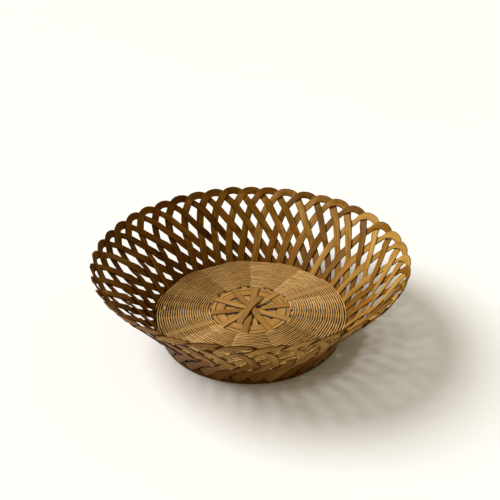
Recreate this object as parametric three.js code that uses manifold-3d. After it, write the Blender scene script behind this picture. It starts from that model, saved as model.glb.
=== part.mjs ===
// Round bread basket of split cane. A flat woven floor stands on a low foot, and an openwork
// wall of crossing splints flares up from it to a scalloped rim.
// Millimetres, +Z up. The origin is at the middle of the foot's underside, on the ground.
import * as THREE from 'three';
import { mergeVertices } from 'three/addons/utils/BufferGeometryUtils.js';
import Module from 'manifold-3d';

const wasm = await Module();
wasm.setup();

// ---------------------------------------------------------------- driving dimensions
const RIM_RADIUS = 127.6;        // middle of the wall at the top edge of the scallops
const RIM_HEIGHT = 74.4;
const BEND_RADIUS = 81;          // middle of the wall where the flare starts, level with the floor
const BEND_HEIGHT = 14.9;
const FOOT_RADIUS = 75.9;        // middle of the wall carried down to the ground
const BEND_BLEND = 2;            // how softly the wall turns from foot to flare

const STAKE_COUNT = 40;          // each stake is one splint bent into a pointed arch
const STAKE_WIDTH = 6.4;
const STAKE_THICKNESS = 1.1;
const LAYER_OFFSET = 0.87;       // crossing legs lie this far outside and inside the wall's middle
const FIRST_PEAK = THREE.MathUtils.degToRad(8.55);
const CROWDING = 0.073;          // the stakes stand this share closer at the back, wider in front
const WIDEST_GAP = THREE.MathUtils.degToRad(290);

const FLOOR_TOP = 16.6;
const WEAVE_HALF = 1.4;          // half the thickness of the fine weave
const WEAVE_INNER = 36;
const WEAVE_OUTER = 79;
const SPOKE_COUNT = 10;          // each crosses the whole floor and makes two of the twenty arms
const SPOKE_WIDTH = 5.8;
const SPOKE_THICKNESS = 0.6;
const SPOKE_REACH = 78;
const FIRST_SPOKE_ANGLE = THREE.MathUtils.degToRad(11);
const RING_INNER = 22.5;
const RING_OUTER = 33.6;
const RING_EASE = 18.2;          // from here to the ring the top spoke comes down to its place
const CLEARANCE = 0.3;

const HOOP_INNER = 73.9;
const HOOP_OUTER = 77.4;
const HOOP_HEIGHT = 3;
const ROUND_STEPS = 88;

const FLOOR_MIDDLE = FLOOR_TOP - WEAVE_HALF;
const LAYER_PITCH = SPOKE_THICKNESS + CLEARANCE;
const SPACING = 2 * Math.PI / STAKE_COUNT;
const FLARE = Math.atan2(RIM_RADIUS - BEND_RADIUS, RIM_HEIGHT - BEND_HEIGHT);

// ---------------------------------------------------------------- materials
function cane(hex, roughness) {
  return new THREE.MeshStandardMaterial({ color: hex, roughness, metalness: 0 });
}
const STAKE_CANE = cane(0x8a5f2a, 0.55);
const SPOKE_CANE = cane(0xb98f55, 0.6);
const RING_CANE = cane(0xb0854c, 0.6);
const WEAVE_CANE = cane(0xb58a50, 0.65);
const HOOP_CANE = cane(0x6e4a1e, 0.6);

// ---------------------------------------------------------------- shared shapes
// A flat ribbon through stations of { at, normal }: at is its middle, normal faces out of its
// flat side, and the ribbon's width lies across both the path and that normal.
function ribbon(stations, width, thickness) {
  const positions = [];
  const last = stations.length - 1;
  stations.forEach((station, i) => {
    const before = stations[Math.max(i - 1, 0)].at;
    const after = stations[Math.min(i + 1, last)].at;
    const along = after.clone().sub(before).normalize();
    const across = along.clone().cross(station.normal).normalize();
    const out = across.clone().cross(along);
    const corners = [[1, 1], [-1, 1], [-1, -1], [1, -1]];
    for (const [side, face] of corners) {
      const corner = station.at.clone()
        .addScaledVector(across, side * width / 2)
        .addScaledVector(out, face * thickness / 2);
      positions.push(corner.x, corner.y, corner.z);
    }
  });
  const index = [0, 1, 2, 0, 2, 3];
  for (let i = 0; i < last; i += 1) {
    for (let side = 0; side < 4; side += 1) {
      const a = 4 * i + side;
      const b = 4 * i + (side + 1) % 4;
      index.push(a, a + 4, b, b, a + 4, b + 4);
    }
  }
  const end = 4 * last;
  index.push(end, end + 2, end + 1, end, end + 3, end + 2);
  const geometry = new THREE.BufferGeometry();
  geometry.setAttribute('position', new THREE.Float32BufferAttribute(positions, 3));
  geometry.setIndex(index);
  geometry.computeVertexNormals();
  return geometry;
}

// A flat-sided ring round the Z axis.
function ring(inner, outer, low, high) {
  const outline = [
    new THREE.Vector2(inner, low),
    new THREE.Vector2(outer, low),
    new THREE.Vector2(outer, high),
    new THREE.Vector2(inner, high),
    new THREE.Vector2(inner, low),
  ];
  return new THREE.LatheGeometry(outline, ROUND_STEPS).rotateX(Math.PI / 2);
}

function toSolid(geometry) {
  const bare = geometry.clone();
  bare.deleteAttribute('normal');
  bare.deleteAttribute('uv');
  const merged = mergeVertices(bare);
  return new wasm.Manifold(new wasm.Mesh({
    numProp: 3,
    vertProperties: new Float32Array(merged.attributes.position.array),
    triVerts: new Uint32Array(merged.index.array),
  }));
}

function toGeometry(solid) {
  const mesh = solid.getMesh();
  const geometry = new THREE.BufferGeometry();
  geometry.setAttribute('position', new THREE.BufferAttribute(mesh.vertProperties, 3));
  geometry.setIndex(new THREE.BufferAttribute(mesh.triVerts, 1));
  geometry.computeVertexNormals();
  return geometry;
}

function named(name, geometry, material) {
  const mesh = new THREE.Mesh(geometry, material);
  mesh.name = name;
  return mesh;
}

// ---------------------------------------------------------------- wall
// Radius of the wall's middle surface: the steep foot below, the flare above, softly joined.
function wallRadius(z) {
  const footSlope = (BEND_RADIUS - FOOT_RADIUS) / BEND_HEIGHT;
  const foot = FOOT_RADIUS + footSlope * z;
  const flare = BEND_RADIUS + Math.tan(FLARE) * (z - BEND_HEIGHT);
  return (foot + flare + Math.hypot(foot - flare, BEND_BLEND)) / 2;
}

function wallStation(angle, z, offset) {
  const step = 0.1;
  const slope = (wallRadius(z + step) - wallRadius(z - step)) / (2 * step);
  const lean = Math.atan(slope);
  const normal = new THREE.Vector3(
    Math.cos(angle) * Math.cos(lean),
    Math.sin(angle) * Math.cos(lean),
    -Math.sin(lean),
  );
  const radius = wallRadius(z);
  const at = new THREE.Vector3(radius * Math.cos(angle), radius * Math.sin(angle), z)
    .addScaledVector(normal, offset);
  return { at, normal };
}

// An arch's two legs, from its peak down, as rows of sideways turn in spacings, height and layer
// (1 outside, -1 inside). Seen from above, the clockwise leg leans far over and the other one
// soon runs almost straight down. Each leg changes layer below its first and third crossings.
const CLOCKWISE_LEG = [
  [0, 71.6, 0],
  [0.255, 70.95, 1],
  [0.485, 69, 1],
  [0.63, 66.6, 1],
  [0.81, 63.4, -1],
  [1.02, 59.75, -1],
  [1.67, 46.8, -1],
  [1.935, 42, -1],
  [2.18, 37.9, 1],
  [2.47, 33.3, 1],
  [3.31, 21.8, 1],
  [4.15, 11, 1],
  [4.63, 5.6, 1],
];
const ANTICLOCKWISE_LEG = [
  [0, 71.6, 0],
  [0.255, 70.95, -1],
  [0.485, 69, -1],
  [0.63, 66.6, -1],
  [0.795, 63.4, 1],
  [0.98, 59.75, 1],
  [1.33, 46.8, 1],
  [1.42, 41.2, 1],
  [1.46, 38.6, -1],
  [1.53, 33.3, -1],
  [1.69, 21.8, -1],
  [1.8, 11, -1],
  [1.85, 3.6, -1],
];
const STEPS_PER_ROW = 2;

// Direction of a place on the rim that is counted in spacings from the first peak.
function azimuth(place) {
  const even = FIRST_PEAK + place * SPACING;
  return even + CROWDING * Math.sin(even - WIDEST_GAP);
}

function legStations(peak, way, rows) {
  const curve = new THREE.SplineCurve(rows.map(([turn, z]) => new THREE.Vector2(turn, z)));
  return curve.getPoints(STEPS_PER_ROW * (rows.length - 1)).map((point, i) => {
    const row = Math.min(Math.floor(i / STEPS_PER_ROW), rows.length - 2);
    const layer = THREE.MathUtils.lerp(rows[row][2], rows[row + 1][2], i / STEPS_PER_ROW - row);
    return wallStation(azimuth(peak + way * point.x), point.y, layer * LAYER_OFFSET);
  });
}

function stake(peak) {
  const clockwise = legStations(peak, -1, CLOCKWISE_LEG);
  const anticlockwise = legStations(peak, 1, ANTICLOCKWISE_LEG);
  const stations = [...clockwise.reverse(), ...anticlockwise.slice(1)];
  return ribbon(stations, STAKE_WIDTH, STAKE_THICKNESS);
}

// ---------------------------------------------------------------- floor
// Height of a spoke above the floor's middle plane. Near the hub the spokes lie on each other in
// ten layers; past it the even ones pass over the flat ring and the odd ones under it.
const HUB_ORDER = [7, 1, 5, 9, 0, 4, 8, 2, 6, 3];   // spoke numbers from the bottom up
const HUB_RADIUS = 5.2;
const HUB_END = 13;
const TOP_SPOKE = HUB_ORDER[SPOKE_COUNT - 1];

function spokeHeight(number, distance) {
  const hubHeight = (HUB_ORDER.indexOf(number) - (SPOKE_COUNT - 1) / 2) * LAYER_PITCH;
  const ringHeight = number % 2 === 0 ? LAYER_PITCH : -LAYER_PITCH;
  const besideHub = number === TOP_SPOKE ? 2 * LAYER_PITCH : ringHeight;
  const profile = [
    [0, hubHeight],
    [HUB_RADIUS, hubHeight],
    [HUB_END, besideHub],
    [RING_EASE, besideHub],
    [RING_INNER - CLEARANCE, ringHeight],
    [RING_OUTER + CLEARANCE, ringHeight],
    [WEAVE_INNER - CLEARANCE, 0],
    [SPOKE_REACH, 0],
  ];
  const next = Math.max(profile.findIndex(([r]) => r >= distance), 1);
  const [r0, z0] = profile[next - 1];
  const [r1, z1] = profile[next];
  return THREE.MathUtils.mapLinear(distance, r0, r1, z0, z1);
}

function spoke(number) {
  const angle = FIRST_SPOKE_ANGLE + number * Math.PI / SPOKE_COUNT;
  const marks = [0, HUB_RADIUS, HUB_END, RING_EASE, RING_INNER - CLEARANCE, RING_OUTER + CLEARANCE,
    WEAVE_INNER - CLEARANCE, SPOKE_REACH];
  const distances = [...marks.slice(1).reverse().map((r) => -r), ...marks];
  const stations = distances.map((r) => ({
    at: new THREE.Vector3(r * Math.cos(angle), r * Math.sin(angle),
      FLOOR_MIDDLE + spokeHeight(number, Math.abs(r))),
    normal: new THREE.Vector3(0, 0, 1),
  }));
  return ribbon(stations, SPOKE_WIDTH, SPOKE_THICKNESS);
}

// The fine weave is one flat ring with a passage for each arm of the spokes.
function weave() {
  const mat = ring(WEAVE_INNER, WEAVE_OUTER, FLOOR_MIDDLE - WEAVE_HALF, FLOOR_MIDDLE + WEAVE_HALF);
  let solid = toSolid(mat);
  const length = 2 * (WEAVE_OUTER + 5);
  for (let i = 0; i < SPOKE_COUNT; i += 1) {
    const passage = new THREE.BoxGeometry(length, SPOKE_WIDTH + 2 * CLEARANCE,
      SPOKE_THICKNESS + 2 * CLEARANCE);
    passage.rotateZ(FIRST_SPOKE_ANGLE + i * Math.PI / SPOKE_COUNT);
    passage.translate(0, 0, FLOOR_MIDDLE);
    solid = solid.subtract(toSolid(passage));
  }
  return toGeometry(solid);
}

// ---------------------------------------------------------------- assembly
const basket = new THREE.Group();
for (let i = 0; i < STAKE_COUNT; i += 1) {
  const number = String(i + 1).padStart(2, '0');
  basket.add(named(`wall_stake_${number}`, stake(i), STAKE_CANE));
}
for (let i = 0; i < SPOKE_COUNT; i += 1) {
  const number = String(i + 1).padStart(2, '0');
  basket.add(named(`floor_spoke_${number}`, spoke(i), SPOKE_CANE));
}
const ribbonHalf = SPOKE_THICKNESS / 2;
const ringShape = ring(RING_INNER, RING_OUTER, FLOOR_MIDDLE - ribbonHalf, FLOOR_MIDDLE + ribbonHalf);
basket.add(named('floor_ring_ribbon', ringShape, RING_CANE));
basket.add(named('floor_weave', weave(), WEAVE_CANE));
basket.add(named('foot_hoop', ring(HOOP_INNER, HOOP_OUTER, 0, HOOP_HEIGHT), HOOP_CANE));

export default basket;
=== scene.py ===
"""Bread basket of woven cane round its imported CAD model. Lengths in metres, angles in radians."""
import math
import random

import bpy
import numpy as np
from mathutils import Matrix, Vector


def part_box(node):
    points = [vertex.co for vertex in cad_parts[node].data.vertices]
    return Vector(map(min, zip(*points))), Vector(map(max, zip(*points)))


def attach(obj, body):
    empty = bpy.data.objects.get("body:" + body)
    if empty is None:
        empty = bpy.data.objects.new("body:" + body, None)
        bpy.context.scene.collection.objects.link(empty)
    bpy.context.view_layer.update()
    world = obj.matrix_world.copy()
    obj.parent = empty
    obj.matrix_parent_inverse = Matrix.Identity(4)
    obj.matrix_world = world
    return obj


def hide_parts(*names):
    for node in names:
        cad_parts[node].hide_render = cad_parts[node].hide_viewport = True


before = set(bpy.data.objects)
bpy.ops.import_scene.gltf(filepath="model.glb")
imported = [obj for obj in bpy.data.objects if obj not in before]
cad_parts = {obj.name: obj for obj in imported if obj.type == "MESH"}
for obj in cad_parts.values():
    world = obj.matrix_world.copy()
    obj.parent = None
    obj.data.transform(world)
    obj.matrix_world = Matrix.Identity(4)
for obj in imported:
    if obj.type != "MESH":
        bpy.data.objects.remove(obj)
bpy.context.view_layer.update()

MM = 0.001
RNG = random.Random(11)

# ---------------------------------------------------------------- sizes
STAKES = sorted(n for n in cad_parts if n.startswith("wall_stake_"))
SPOKES = sorted(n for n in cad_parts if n.startswith("floor_spoke_"))
SPACING = 2 * math.pi / len(STAKES)
ARM_STEP = math.pi / len(SPOKES)
WEAVE_LOW, WEAVE_HIGH = (Vector(c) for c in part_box("floor_weave"))
FLOOR_MIDDLE = (WEAVE_LOW.z + WEAVE_HIGH.z) / 2
RING_OUTER = Vector(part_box("floor_ring_ribbon")[1]).x

# The wall's middle surface: a steep foot below and a flare above.
RIM_RADIUS = 127.6 * MM
RIM_HEIGHT = 74.4 * MM
BEND_RADIUS = 81 * MM
BEND_HEIGHT = 14.9 * MM
FOOT_RADIUS = 75.9 * MM
BEND_BLEND = 2 * MM
FLARE = math.atan2(RIM_RADIUS - BEND_RADIUS, RIM_HEIGHT - BEND_HEIGHT)

STAKE_WIDTH = 7 * MM
STAKE_THICKNESS = 1.05 * MM
LAYER_OFFSET = 0.64 * MM         # crossing legs lie this far outside and inside the wall's middle
FIRST_PEAK = math.radians(8.55)
CROWDING = 0.073                 # the stakes stand this share closer at the back, wider in front
WIDEST_GAP = math.radians(290)

SPOKE_WIDTH = 5.8 * MM
SPOKE_THICKNESS = 0.7 * MM
SPOKE_REACH = 79.5 * MM
LAYER_PITCH = 0.9 * MM
FIRST_SPOKE_ANGLE = math.radians(11)
HUB_ORDER = [7, 1, 5, 9, 0, 4, 8, 2, 6, 3]     # spoke numbers from the bottom up
HUB_RADIUS = 5.2 * MM
HUB_END = 13 * MM
RING_INNER = 22.5 * MM
RING_EASE = 18.2 * MM
WEAVE_EASE = 36.5 * MM

REED_RADIUS = 0.57 * MM
REED_LIFT = 0.66 * MM
ROW_PITCH = 1.0 * MM
ROWS_START = 34.6 * MM
ROWS_END = 80.8 * MM


# ---------------------------------------------------------------- small helpers
def smooth(x):
    x = np.clip(x, 0, 1)
    return x * x * (3 - 2 * x)


def unit(v):
    return v / np.linalg.norm(v, axis=-1, keepdims=True)


def spline(points, count):
    """A smooth curve through a few points, as count samples spread evenly between its ends."""
    p = np.array(points, float)
    p = np.vstack([2 * p[0] - p[1], p, 2 * p[-1] - p[-2]])
    s = np.linspace(0, len(points) - 1 - 1e-9, count)
    i = s.astype(int)
    f = (s - i)[:, None]
    a, b, c, d = p[i], p[i + 1], p[i + 2], p[i + 3]
    second = 2 * a - 5 * b + 4 * c - d
    third = 3 * b - 3 * c + d - a
    return 0.5 * (2 * b + (c - a) * f + second * f ** 2 + third * f ** 3)


SINES = 3
SINE_STRETCH = (0.6, 1.6)


def wander(along, wavelength):
    """A slow random wave of about unit size along a splint: a few sines near one wavelength."""
    total = np.zeros_like(along)
    for _ in range(SINES):
        phase = RNG.uniform(0, 2 * math.pi)
        length = wavelength * RNG.uniform(*SINE_STRETCH)
        total = total + np.sin(2 * math.pi * along / length + phase)
    return total / 2


# ---------------------------------------------------------------- meshes
# A flat splint's outer face and the grooves of its inner one, as shares of half its width and thickness.
ACROSS = [-0.97, -0.8, -0.54, -0.36, -0.18, 0, 0.18, 0.36, 0.54, 0.8, 0.97]
CROWN = [0.45, 0.82, 0.94, 0.97, 0.99, 1, 0.99, 0.97, 0.94, 0.82, 0.45]
GROOVES = [0, 0, 0.05, 0.6, 0.05, 0, 0.05, 0.6, 0.05, 0, 0]
# How much painted shade darkens a splint's grooves.
PAINTED_GROOVE_SHADE = 1.6
# Sets how far up a reed's sides the painted shade underneath reaches.
PAINTED_REED_UNDERSHADE = 0.82


def flat_section(grooved=0.0):
    """A splint's cross-section as side, face and painted shade on sides and grooves. Its inner face has
    grooves as deep as grooved says.
    """
    grooved = np.atleast_1d(grooved)[:, None]
    side = np.array(ACROSS + [1] + ACROSS[::-1] + [-1])
    groove = np.array([0] * len(ACROSS) + [0] + GROOVES + [0]) * grooved
    face = np.array(CROWN + [0] + [-c for c in CROWN] + [0]) + groove
    # Painted shade: a splint's rounded sides and its grooves are darker.
    dark = np.maximum(np.abs(side), PAINTED_GROOVE_SHADE * groove)
    return np.stack(np.broadcast_arrays(side, face, dark), -1)


def round_section(sides):
    """A round reed's cross-section as side, face and painted shade, darker underneath where shade falls."""
    turn = np.linspace(0, -2 * math.pi, sides, endpoint=False)
    side, face = np.cos(turn), np.sin(turn)
    # Painted shade: the underside of a reed is darker.
    return np.stack([side, face, PAINTED_REED_UNDERSHADE - face], -1)[None]


def store(mesh, name, values):
    """Keeps a number or a vector for each point of a mesh, for the materials."""
    values = np.asarray(values, np.float32)
    kind, field = ("FLOAT_VECTOR", "vector") if values.shape[-1] == 3 else ("FLOAT", "value")
    mesh.attributes.new(name, kind, "POINT").data.foreach_set(field, values.reshape(-1))


def skin(name, verts, closed):
    """A mesh over rings of points, with flat ends unless the last ring joins the first."""
    n, m = verts.shape[:2]
    rings = n if closed else n - 1
    i = np.arange(rings)[:, None]
    j = np.arange(m)[None, :]
    next_i = (i + 1) % n
    next_j = (j + 1) % m
    corners = [i * m + j, i * m + next_j, next_i * m + next_j, next_i * m + j]
    faces = np.stack(corners, -1).reshape(-1, 4).tolist()
    if not closed:
        faces.append(list(range(m))[::-1])
        faces.append(list(range((n - 1) * m, n * m)))
    mesh = bpy.data.meshes.new(name)
    mesh.from_pydata(verts.reshape(-1, 3).tolist(), [], faces)
    mesh.polygons.foreach_set("use_smooth", [True] * len(faces))
    return mesh


def sweep(name, path, normal, width, thickness, section, tilt=0.0, closed=False, shift=0.0, shade=0.0,
          painted_light=0.0):
    """A mesh of a section carried along a path, with each point's place in the strip for the materials."""
    path = np.asarray(path)
    n, m = len(path), section.shape[1]
    tangent = unit(np.roll(path, -1, 0) - np.roll(path, 1, 0) if closed else np.gradient(path, axis=0))
    level = unit(np.cross(tangent, normal))
    upright = np.cross(level, tangent)
    tilt = np.broadcast_to(tilt, n)[:, None]
    across = level * np.cos(tilt) + upright * np.sin(tilt)
    out = upright * np.cos(tilt) - level * np.sin(tilt)
    side = section[..., 0] * np.broadcast_to(width, n)[:, None] / 2
    face = section[..., 1] * np.broadcast_to(thickness, n)[:, None] / 2
    verts = path[:, None] + side[..., None] * across[:, None] + face[..., None] * out[:, None]
    mesh = skin(name, verts, closed)
    step = np.linalg.norm(np.diff(path, axis=0), axis=1)
    along = np.r_[0, np.cumsum(step)] + shift
    store(mesh, "strip", np.stack([np.broadcast_to(along[:, None], (n, m)), side, face], -1))
    # Painted shade for sides, grooves and undersides; each strip's tone with any painted light; painted
    # shade along it.
    store(mesh, "painted_edge_shade", np.broadcast_to(section[..., 2], (n, m)).reshape(-1, 1))
    store(mesh, "tone_and_painted_light", np.full((n * m, 1), RNG.random() + painted_light))
    store(mesh, "shade", np.repeat(np.broadcast_to(shade, n), m)[:, None])
    mesh.update()
    piece = bpy.data.objects.new(name, mesh)
    bpy.context.scene.collection.objects.link(piece)
    return piece


def finish_piece(piece, material, slot, *nodes):
    """Gives a piece its material, hangs it on the root body, and hides the CAD nodes it stands for."""
    piece.data.materials.append(material)
    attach(piece, "root")
    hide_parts(*nodes)
    return piece


# ---------------------------------------------------------------- materials
# Noise is in waves per metre, along the strip and then across it. Each cane sets its own fibres' width.
FIBRE_ALONG = 45
PATCH_WAVES = (38, 160, 160)
HUE_WAVES = (14, 60, 60)
FIBRE_SHARE = 0.5
PATCH_SHARE = 0.32
TINT_SHARE = 0.26

# Tones at which the ramp reaches its three colours.
DARK_TONE = 0.32
MIDDLE_TONE = 0.54
LIGHT_TONE = 0.76

WARM_FROM = 0.48
WARM_TO = 0.7
WARM_MOST = 0.65
# Painted shade on sides, grooves and undersides: where it starts, and its colour as a share of the dark
# one.
EDGE_SHADE_FROM = 0.72
EDGE_SHADE_TONE = 0.3
SMOOTHER = 0.1
ROUGHER = 0.12
CANE_IOR = 1.48
CANE_SPECULAR = 0.1
BUMP_STRENGTH = 0.8

# The mix node's sockets for colours, by their place in its lists.
MIX_FACTOR = 0
MIX_A = 6
MIX_B = 7
MIX_RESULT = 2


def cane(name, dark, middle, light, warm, shadow, roughness, fibre, relief, edge_shade_strength):
    """Split cane: fibres along the strip, slow patches, each strip's tone plus painted light, painted shade
    on its sides and where given.
    """
    material = bpy.data.materials.new(name)
    material.use_nodes = True
    tree = material.node_tree
    nodes = tree.nodes
    shader = nodes["Principled BSDF"]
    shader.inputs["IOR"].default_value = CANE_IOR
    shader.inputs["Specular IOR Level"].default_value = CANE_SPECULAR

    def plug(value, socket):
        if isinstance(value, (int, float)):
            socket.default_value = value
        elif isinstance(value, tuple):
            socket.default_value = (*value, 1)
        else:
            tree.links.new(value, socket)

    def attribute(key, output):
        node = nodes.new("ShaderNodeAttribute")
        node.attribute_name = key
        return node.outputs[output]

    def noise(scale, detail, seed):
        place = nodes.new("ShaderNodeMapping")
        place.inputs["Scale"].default_value = scale
        place.inputs["Location"].default_value = (seed, seed, seed)
        plug(strip, place.inputs["Vector"])
        texture = nodes.new("ShaderNodeTexNoise")
        texture.inputs["Scale"].default_value = 1
        texture.inputs["Detail"].default_value = detail
        plug(place.outputs["Vector"], texture.inputs["Vector"])
        return texture.outputs["Fac"]

    def maths(operation, a, b):
        step = nodes.new("ShaderNodeMath")
        step.operation = operation
        plug(a, step.inputs[0])
        plug(b, step.inputs[1])
        return step.outputs[0]

    def remap(value, from_low, from_high, to_low, to_high):
        step = nodes.new("ShaderNodeMapRange")
        step.inputs["From Min"].default_value = from_low
        step.inputs["From Max"].default_value = from_high
        step.inputs["To Min"].default_value = to_low
        step.inputs["To Max"].default_value = to_high
        plug(value, step.inputs["Value"])
        return step.outputs[0]

    def mix(factor, a, b):
        step = nodes.new("ShaderNodeMix")
        step.data_type = "RGBA"
        plug(factor, step.inputs[MIX_FACTOR])
        plug(a, step.inputs[MIX_A])
        plug(b, step.inputs[MIX_B])
        return step.outputs[MIX_RESULT]

    strip = attribute("strip", "Vector")
    tone_and_painted_light = attribute("tone_and_painted_light", "Fac")
    fibres = noise((FIBRE_ALONG, fibre, fibre), detail=4, seed=0.0)
    patches = noise(PATCH_WAVES, detail=2, seed=3.7)
    hue = noise(HUE_WAVES, detail=1, seed=9.1)
    tone = maths("ADD", maths("MULTIPLY", fibres, FIBRE_SHARE), maths("MULTIPLY", patches, PATCH_SHARE))
    # Each strip's own tone, raised on the lit side of the basket by painted light.
    tone = maths("ADD", tone, maths("MULTIPLY", tone_and_painted_light, TINT_SHARE))
    ramp = nodes.new("ShaderNodeValToRGB")
    plug(tone, ramp.inputs["Fac"])
    low, high = ramp.color_ramp.elements
    low.position = DARK_TONE
    low.color = (*dark, 1)
    high.position = LIGHT_TONE
    high.color = (*light, 1)
    centre = ramp.color_ramp.elements.new(MIDDLE_TONE)
    centre.color = (*middle, 1)
    colour = mix(remap(hue, WARM_FROM, WARM_TO, 0, WARM_MOST), ramp.outputs["Color"], warm)
    # Painted shade: toward the shadow colour, as much as the shade attribute gives.
    colour = mix(attribute("shade", "Fac"), colour, shadow)
    # Painted shade on sides, in grooves and under reeds.
    edge_shade_colour = tuple(EDGE_SHADE_TONE * c for c in dark)
    colour = mix(remap(attribute("painted_edge_shade", "Fac"), EDGE_SHADE_FROM, 1.0, 0, edge_shade_strength), colour, edge_shade_colour)
    plug(colour, shader.inputs["Base Color"])
    plug(remap(fibres, 0, 1, roughness - SMOOTHER, roughness + ROUGHER), shader.inputs["Roughness"])
    bump = nodes.new("ShaderNodeBump")
    bump.inputs["Strength"].default_value = BUMP_STRENGTH
    bump.inputs["Distance"].default_value = relief
    plug(fibres, bump.inputs["Height"])
    plug(bump.outputs["Normal"], shader.inputs["Normal"])
    return material


WALL_CANE = cane(
    "wall_cane", roughness=0.5, fibre=1500, relief=0.15 * MM, edge_shade_strength=0.8,
    dark=(0.062, 0.022, 0.0008), middle=(0.19, 0.083, 0.0035), light=(0.45, 0.265, 0.06),
    warm=(0.22, 0.07, 0.003), shadow=(0.085, 0.027, 0.002))
FLOOR_CANE = cane(
    "floor_cane", roughness=0.55, fibre=1500, relief=0.12 * MM, edge_shade_strength=0.8,
    dark=(0.17, 0.08, 0.018), middle=(0.335, 0.18, 0.05), light=(0.50, 0.30, 0.10),
    warm=(0.36, 0.18, 0.05), shadow=(0.15, 0.075, 0.016))
FINE_REED = cane(
    "fine_reed", roughness=0.6, fibre=3000, relief=0.05 * MM, edge_shade_strength=0.97,
    dark=(0.25, 0.135, 0.04), middle=(0.48, 0.29, 0.10), light=(0.76, 0.53, 0.24),
    warm=(0.46, 0.25, 0.09), shadow=(0.075, 0.03, 0.004))


# ---------------------------------------------------------------- wall
SLOPE_STEP = 0.1 * MM


def wall_radius(z):
    """Radius of the wall's middle surface at a height: the foot's line blended into the flare's."""
    foot = FOOT_RADIUS + (BEND_RADIUS - FOOT_RADIUS) / BEND_HEIGHT * z
    flare = BEND_RADIUS + math.tan(FLARE) * (z - BEND_HEIGHT)
    return (foot + flare + np.hypot(foot - flare, BEND_BLEND)) / 2


def on_wall(angle, z, offset):
    """Points on the wall's middle surface moved out by offset, with the surface's outward normals."""
    lean = np.arctan((wall_radius(z + SLOPE_STEP) - wall_radius(z - SLOPE_STEP)) / (2 * SLOPE_STEP))
    normal = np.stack([np.cos(angle) * np.cos(lean), np.sin(angle) * np.cos(lean), -np.sin(lean)], -1)
    radius = wall_radius(z)
    at = np.stack([radius * np.cos(angle), radius * np.sin(angle), z], -1)
    return at + normal * offset[:, None], normal


# An arch's two legs from its peak down: sideways turn in spacings and height in millimetres.
CLOCKWISE_LEG = [
    (0, 71.6), (0.255, 70.95), (0.485, 69), (0.63, 66.6), (0.81, 63.4), (1.02, 59.75), (1.33, 53.3),
    (1.67, 46.8), (2.05, 40.2), (2.47, 33.3), (3.31, 21.8), (4.15, 11), (4.6, 5.9), (4.83, 3.2)]
ANTICLOCKWISE_LEG = [
    (0, 71.6), (0.255, 70.95), (0.485, 69), (0.63, 66.6), (0.795, 63.4), (0.98, 59.75), (1.17, 53.3),
    (1.33, 46.8), (1.44, 40.2), (1.53, 33.3), (1.69, 21.8), (1.8, 11), (1.85, 3)]
STEPS_PER_ROW = 9

# From here on, heights that a leg passes are in millimetres, as in the tables.
PEAK_HEIGHT = 71.6
PEAK_REACH = 0.7
LOOSE_REACH = 12
LOOSE_LENGTH = 70
LOOSENESS = 0.055

# Crossing legs swap layers at two heights, and the lower one is lower still round the front.
UPPER_SWAP = 65
LOWER_SWAP = 40.2
FRONT_SWAP = 27.4
FRONT = math.radians(268)
FRONT_HALF = math.radians(62)
SWAP_REACH = 4.6
SWAP_TWIST = 0.2
RIM_TWIST = 0.24
RIM_TWIST_FROM = 68
RIM_TWIST_REACH = 3

# Every stake is a little different from the next.
PEAK_SPREAD = 0.035
HEIGHT_SPREAD = 0.3
LEG_ENDS = (3.4, 7)
GROOVE_DEPTHS = (0.6, 1)
STAKE_WIDTHS = (0.95, 1.05)
WIDTH_WAVE = 0.03
WIDTH_WAVE_LENGTH = 30
TILT_WAVE = 0.04
TILT_WAVE_LENGTH = 50

# Painted light gives splints a lighter tone on the side the key light falls on; painted shade darkens them
# near the foot, where their ends spread.
PAINTED_LIGHT_GAIN = 0.3
PAINTED_LIGHT_AZIMUTH = math.radians(-20)
DARK_BELOW = 36
DARK_REACH = 16
DARKEST = 0.55
INNER_LEG_DARKNESS = 0.4
FOOT_BELOW = 20
FOOT_REACH = 6
FOOT_SPREAD = 0.2
FOOT_TILT = 0.1
STAKE_SHIFT = 3.0


def azimuth(place):
    """Direction of a place on the rim that is counted in spacings from the first peak."""
    even = FIRST_PEAK + place * SPACING
    return even + CROWDING * np.sin(even - WIDEST_GAP)


def bell(x):
    return np.exp(-x ** 2)


def leg(peak, way, rows, end):
    """A leg from the peak down to its end, as points, the wall's normals there, heights and twist."""
    turn, z = spline(rows, STEPS_PER_ROW * (len(rows) - 1) + 1).T
    turn = turn + LOOSENESS * wander(z, LOOSE_LENGTH) * smooth((PEAK_HEIGHT - z) / LOOSE_REACH)
    angle = azimuth(peak + way * turn)
    from_front = np.abs((angle - FRONT + math.pi) % (2 * math.pi) - math.pi)
    swap = np.where(from_front < FRONT_HALF, FRONT_SWAP, LOWER_SWAP)
    outside = smooth((PEAK_HEIGHT - z) / PEAK_REACH)
    outside = outside - 2 * smooth((UPPER_SWAP - z) / SWAP_REACH + 0.5)
    outside = outside + 2 * smooth((swap - z) / SWAP_REACH + 0.5)
    points, normals = on_wall(angle, z * MM, -way * outside * LAYER_OFFSET)
    twist = bell((z - swap) / SWAP_REACH) - bell((z - UPPER_SWAP) / SWAP_REACH)
    twist = SWAP_TWIST * twist + RIM_TWIST * smooth((z - RIM_TWIST_FROM) / RIM_TWIST_REACH)
    kept = z > end
    return points[kept], normals[kept], z[kept], twist[kept]


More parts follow.
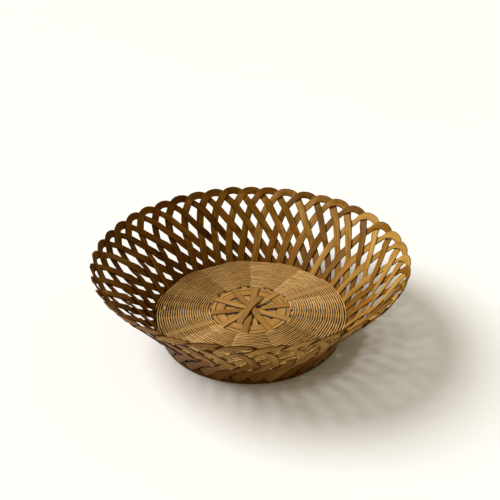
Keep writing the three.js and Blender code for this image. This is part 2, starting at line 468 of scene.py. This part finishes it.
def stake(index):
    """One splint from the foot up to its peak and down again, with grooves inside its second leg."""
    peak = index + RNG.gauss(0, PEAK_SPREAD)
    clockwise = leg(peak, -1, CLOCKWISE_LEG, RNG.uniform(*LEG_ENDS))
    anticlockwise = leg(peak, 1, ANTICLOCKWISE_LEG, 0)
    path, normals, z, twist = (np.concatenate([a[::-1], b[1:]]) for a, b in zip(clockwise, anticlockwise))
    path[:, 2] += RNG.gauss(0, HEIGHT_SPREAD) * MM * smooth(z / PEAK_HEIGHT)
    step = np.arange(len(path)) - len(clockwise[0])
    is_clockwise = step < 0
    grooved = smooth(step / (2 * STEPS_PER_ROW)) * RNG.uniform(*GROOVE_DEPTHS)
    # Painted shade: darker towards the foot, most on the clockwise legs, which lie outside the others
    # there.
    shade = DARKEST * smooth((DARK_BELOW - z) / DARK_REACH) * np.where(is_clockwise, 1, INNER_LEG_DARKNESS)
    foot = smooth((FOOT_BELOW - z) / FOOT_REACH) * is_clockwise
    width = STAKE_WIDTH * RNG.uniform(*STAKE_WIDTHS)
    width = width * (1 + WIDTH_WAVE * wander(z, WIDTH_WAVE_LENGTH) + FOOT_SPREAD * foot)
    tilt = twist + FOOT_TILT * foot + TILT_WAVE * wander(z, TILT_WAVE_LENGTH)
    # Painted light: strips whose inner face the key light falls on get a lighter tone.
    return sweep(f"stake_{index + 1:02d}", path, normals, width, STAKE_THICKNESS, flat_section(grooved),
                 tilt=tilt, shift=STAKE_SHIFT * index, shade=shade,
                 painted_light=PAINTED_LIGHT_GAIN * math.cos(azimuth(peak) - PAINTED_LIGHT_AZIMUTH))


# ---------------------------------------------------------------- floor
TOP_SPOKE = HUB_ORDER[-1]
BEND_SPREAD = 1.2 * MM
BEND_SAMPLES = 9
SPOKE_STEPS = 220
SPOKE_BOW = 0.35 * MM
SPOKE_BOW_LENGTH = 80 * MM
SPOKE_WIDTHS = (0.96, 1.08)
SPOKE_WIDTH_WAVE = 0.03
SPOKE_WIDTH_LENGTH = 40 * MM
SPOKE_TILT_WAVE = 0.03
SPOKE_TILT_LENGTH = 60 * MM
TOP_SPOKE_SHADE = 0.5

# Each strip's start in the fibre pattern.
SPOKE_SHIFT = 200
SPOKE_SHIFT_STEP = 3.0
WIDE_RIBBON_SHIFT = 300
NARROW_RIBBON_SHIFT = 310
HOOP_SHIFT = 400
HOOP_SHIFT_STEP = 9.0
WEAVER_SHIFTS = (500, 600)

RIBBON_STEPS = 260
RIBBON_THICKNESS = 0.6 * MM
RIBBON_SEAM = 1.5                # in arms, on from the first spoke
RIBBON_OVERLAP = 0.12
RIBBON_LAP = 0.35 * MM
RIBBON_LAP_POWER = 6
RIBBON_WAVE = 0.12 * MM
RIBBON_BOW = 0.15 * MM
RIBBON_BOW_LENGTH = 2
WIDE_RIBBON_OUTER = 30.4 * MM
NARROW_RIBBON_INNER = 30.6 * MM
NARROW_RIBBON_OUTER = 33.9 * MM

REED_SIDES = 8
REED_STEPS_PER_ARM = 10
REED_TALLER = 1.15
CREST_GAIN = 1.3
BETWEEN_ARMS_LIFT = 0.2 * MM

# Sizes and lengths of the slow and quick waves of a reed's row, of its height and of its girth.
ROW_SLOW, ROW_SLOW_LENGTH = 0.13 * MM, 0.05
ROW_QUICK, ROW_QUICK_LENGTH = 0.1 * MM, 0.011
HEIGHT_WAVE, HEIGHT_WAVE_LENGTH = 0.08 * MM, 0.02
GIRTH_WAVE, GIRTH_WAVE_LENGTH = 0.07, 0.09

REED_SHADE = 0.1
UNDER_SHADE = 0.85


def spoke_height(number, distance):
    """Height of a spoke over the floor's middle plane at a distance from the hub's centre."""
    hub = (HUB_ORDER.index(number) - (len(SPOKES) - 1) / 2) * LAYER_PITCH
    over_ring = LAYER_PITCH if number % 2 == 0 else -LAYER_PITCH
    beside_hub = 2 * LAYER_PITCH if number == TOP_SPOKE else over_ring
    r = [0, HUB_RADIUS, HUB_END, RING_EASE, RING_INNER, RING_OUTER, WEAVE_EASE, 1]
    z = [hub, hub, beside_hub, beside_hub, over_ring, over_ring, 0, 0]
    spread = np.linspace(-BEND_SPREAD, BEND_SPREAD, BEND_SAMPLES)
    return np.mean([np.interp(np.abs(distance + s), r, z) for s in spread], axis=0)


def flat_up(path):
    """The floor's own direction, straight up, for each point of a path."""
    return np.tile([0.0, 0.0, 1.0], (len(path), 1))


def spoke(number):
    """One splint right across the floor, stacked at the hub and woven through the ring."""
    angle = FIRST_SPOKE_ANGLE + number * ARM_STEP
    distance = np.linspace(-SPOKE_REACH, SPOKE_REACH, SPOKE_STEPS)
    bow = SPOKE_BOW * wander(distance, SPOKE_BOW_LENGTH)
    height = FLOOR_MIDDLE + spoke_height(number, distance)
    path = np.stack([distance * math.cos(angle) - bow * math.sin(angle),
                     distance * math.sin(angle) + bow * math.cos(angle), height], -1)
    width = SPOKE_WIDTH * RNG.uniform(*SPOKE_WIDTHS)
    width = width * (1 + SPOKE_WIDTH_WAVE * wander(distance, SPOKE_WIDTH_LENGTH))
    return sweep(f"spoke_{number + 1:02d}", path, flat_up(path), width, SPOKE_THICKNESS, flat_section(),
                 tilt=SPOKE_TILT_WAVE * wander(distance, SPOKE_TILT_LENGTH),
                 shift=SPOKE_SHIFT + SPOKE_SHIFT_STEP * number,
                 shade=TOP_SPOKE_SHADE if number == TOP_SPOKE else 0)


def ring_ribbon(name, inner, outer, shift):
    """A flat ribbon bent round the hub, over one set of arms and under the other, with its ends lapped."""
    turn = np.linspace(0, 2 * math.pi + RIBBON_OVERLAP, RIBBON_STEPS)
    start = FIRST_SPOKE_ANGLE + RIBBON_SEAM * ARM_STEP
    angle = start + turn
    wave = -np.cos((angle - FIRST_SPOKE_ANGLE) * math.pi / ARM_STEP)
    from_middle = 2 * turn / turn[-1] - 1
    lap = RIBBON_LAP * from_middle * np.abs(from_middle) ** RIBBON_LAP_POWER
    radius = (inner + outer) / 2 + RIBBON_BOW * wander(turn, RIBBON_BOW_LENGTH)
    height = FLOOR_MIDDLE + RIBBON_WAVE * wave + lap
    path = np.stack([radius * np.cos(angle), radius * np.sin(angle), height], -1)
    return sweep(name, path, flat_up(path), outer - inner, RIBBON_THICKNESS, flat_section(), shift=shift)


def weaver(name, phase, shift):
    """One fine reed winding out from the ring to the wall, over one set of arms and under the other."""
    turns = (ROWS_END - ROWS_START) / (2 * ROW_PITCH)
    samples = int(turns * len(SPOKES) * 2 * REED_STEPS_PER_ARM)
    turn = np.linspace(0, turns, samples)
    angle = 2 * math.pi * turn + phase * math.pi
    radius = ROWS_START + phase * ROW_PITCH + 2 * ROW_PITCH * turn
    crest = np.cos((angle - FIRST_SPOKE_ANGLE) * math.pi / ARM_STEP)
    over = 1 if phase == 0 else -1
    wave = np.sin(math.pi / 2 * np.clip(CREST_GAIN * crest, -1, 1)) * over
    crossing = (1 - np.abs(wave)) ** 2
    lift = REED_LIFT * wave + BETWEEN_ARMS_LIFT * crossing
    arms = LAYER_PITCH * np.clip((WEAVE_EASE - radius) / (WEAVE_EASE - RING_OUTER), 0, 1) * crest
    length = turn * 2 * math.pi * (ROWS_START + ROWS_END) / 2
    radius = radius + ROW_SLOW * wander(length, ROW_SLOW_LENGTH)
    radius = radius + ROW_QUICK * wander(length, ROW_QUICK_LENGTH)
    lift = lift + HEIGHT_WAVE * wander(length, HEIGHT_WAVE_LENGTH)
    path = np.stack([radius * np.cos(angle), radius * np.sin(angle), FLOOR_MIDDLE + lift + arms], -1)
    girth = 2 * REED_RADIUS * (1 + GIRTH_WAVE * wander(length, GIRTH_WAVE_LENGTH))
    shade = REED_SHADE + UNDER_SHADE * smooth(-2 * wave) - REED_SHADE * crossing
    return sweep(name, path, flat_up(path), girth, REED_TALLER * girth, round_section(REED_SIDES),
                 shift=shift, shade=shade)


# ---------------------------------------------------------------- foot
# Three hoops bind the foot outside and a wider one lines it: radius, height of the middle, and width.
HOOPS = [(77.2 * MM, 1.0 * MM, 1.6 * MM), (77.0 * MM, 2.5 * MM, 1.6 * MM), (77.3 * MM, 4.0 * MM, 1.5 * MM),
         (74.5 * MM, 4.7 * MM, 8.6 * MM)]
HOOP_THICKNESS = 1.2 * MM
HOOP_STEPS = 180
HOOP_BOW = 0.12 * MM
HOOP_BOWS = 7
HOOP_WAVE = 0.15 * MM
HOOP_WAVES = 5
HOOP_SHADE = 0.7


def foot_hoop(name, radius, height, width, shift):
    """A flat strip bent into a hoop round the foot, not quite round or level."""
    turn = np.linspace(0, 2 * math.pi, HOOP_STEPS, endpoint=False)
    radius = radius + HOOP_BOW * np.sin(HOOP_BOWS * turn + shift)
    height = height + HOOP_WAVE * np.sin(HOOP_WAVES * turn + shift)
    path = np.stack([radius * np.cos(turn), radius * np.sin(turn), height], -1)
    normal = np.stack([np.cos(turn), np.sin(turn), 0 * turn], -1)
    return sweep(name, path, normal, width, HOOP_THICKNESS, flat_section(), closed=True, shift=shift,
                 shade=HOOP_SHADE)


# ---------------------------------------------------------------- camera, light and stage
EYE = Vector((13.96, -438.3, 318.0)) * MM
TARGET = Vector((-0.26, 0, 73.7)) * MM
ROLL = math.radians(-0.61)
SENSOR_WIDTH = 36
LENS = 44.58
SEES_FROM = 0.01
SEES_TO = 50

SUN_AZIMUTH = math.radians(171)
SUN_ELEVATION = math.radians(48)
SUN_SPREAD = math.radians(34)
SUN_STRENGTH = 3.9
SUN_COLOUR = (1.0, 0.96, 0.90)
SKY_COLOUR = (1.0, 0.82, 0.5, 1)
SKY_STRENGTH = 0.36
GROUND_REACH = 8
GROUND_COLOUR = (0.84, 0.88, 0.95, 1)
GROUND_ROUGHNESS = 0.9


def look(eye, target, roll):
    """The matrix of a camera that stands at one point and looks at another, leaning over by roll."""
    forward = (target - eye).normalized()
    right = forward.cross(Vector((0, 0, 1))).normalized()
    up = right.cross(forward)
    turned = right * math.cos(roll) + up * math.sin(roll)
    up = up * math.cos(roll) - right * math.sin(roll)
    basis = Matrix((turned, up, -forward)).transposed().to_4x4()
    return Matrix.Translation(eye) @ basis


def camera():
    data = bpy.data.cameras.new("camera")
    data.sensor_width = SENSOR_WIDTH
    data.lens = LENS
    data.clip_start = SEES_FROM
    data.clip_end = SEES_TO
    eye = bpy.data.objects.new("camera", data)
    eye.matrix_world = look(EYE, TARGET, ROLL)
    bpy.context.scene.collection.objects.link(eye)
    bpy.context.scene.camera = eye


def sun():
    data = bpy.data.lights.new("key", "SUN")
    data.energy = SUN_STRENGTH
    data.angle = SUN_SPREAD
    data.color = SUN_COLOUR
    lamp = bpy.data.objects.new("key", data)
    level = math.cos(SUN_ELEVATION)
    toward = Vector((level * math.cos(SUN_AZIMUTH), level * math.sin(SUN_AZIMUTH), math.sin(SUN_ELEVATION)))
    lamp.rotation_euler = toward.to_track_quat("Z", "Y").to_euler()
    bpy.context.scene.collection.objects.link(lamp)


def stage():
    mesh = bpy.data.meshes.new("ground")
    turns = [(-1, -1), (1, -1), (1, 1), (-1, 1)]
    corners = [(GROUND_REACH * x, GROUND_REACH * y, 0) for x, y in turns]
    mesh.from_pydata(corners, [], [(0, 1, 2, 3)])
    ground = bpy.data.objects.new("ground", mesh)
    bpy.context.scene.collection.objects.link(ground)
    material = bpy.data.materials.new("ground")
    material.use_nodes = True
    shader = material.node_tree.nodes["Principled BSDF"]
    shader.inputs["Base Color"].default_value = GROUND_COLOUR
    shader.inputs["Roughness"].default_value = GROUND_ROUGHNESS
    mesh.materials.append(material)
    world = bpy.data.worlds.new("world")
    world.use_nodes = True
    background = world.node_tree.nodes["Background"]
    background.inputs["Color"].default_value = SKY_COLOUR
    background.inputs["Strength"].default_value = SKY_STRENGTH
    bpy.context.scene.world = world
    bpy.context.scene.view_settings.view_transform = "Standard"


camera()
stage()
sun()

for i, node in enumerate(STAKES):
    finish_piece(stake(i), WALL_CANE, "wall_cane", node)
for i, node in enumerate(SPOKES):
    finish_piece(spoke(i), FLOOR_CANE, "floor_cane", node)
wide = ring_ribbon("ring_ribbon_wide", RING_INNER, WIDE_RIBBON_OUTER, WIDE_RIBBON_SHIFT)
narrow = ring_ribbon("ring_ribbon_narrow", NARROW_RIBBON_INNER, NARROW_RIBBON_OUTER, NARROW_RIBBON_SHIFT)
for ribbon in (wide, narrow):
    finish_piece(ribbon, FLOOR_CANE, "floor_cane", "floor_ring_ribbon")
for phase, name in enumerate(("weaver_first", "weaver_second")):
    finish_piece(weaver(name, phase, WEAVER_SHIFTS[phase]), FINE_REED, "fine_reed", "floor_weave")
for i, (radius, height, width) in enumerate(HOOPS):
    hoop = foot_hoop(f"hoop_{i + 1}", radius, height, width, HOOP_SHIFT + HOOP_SHIFT_STEP * i)
    finish_piece(hoop, WALL_CANE, "wall_cane", "foot_hoop")
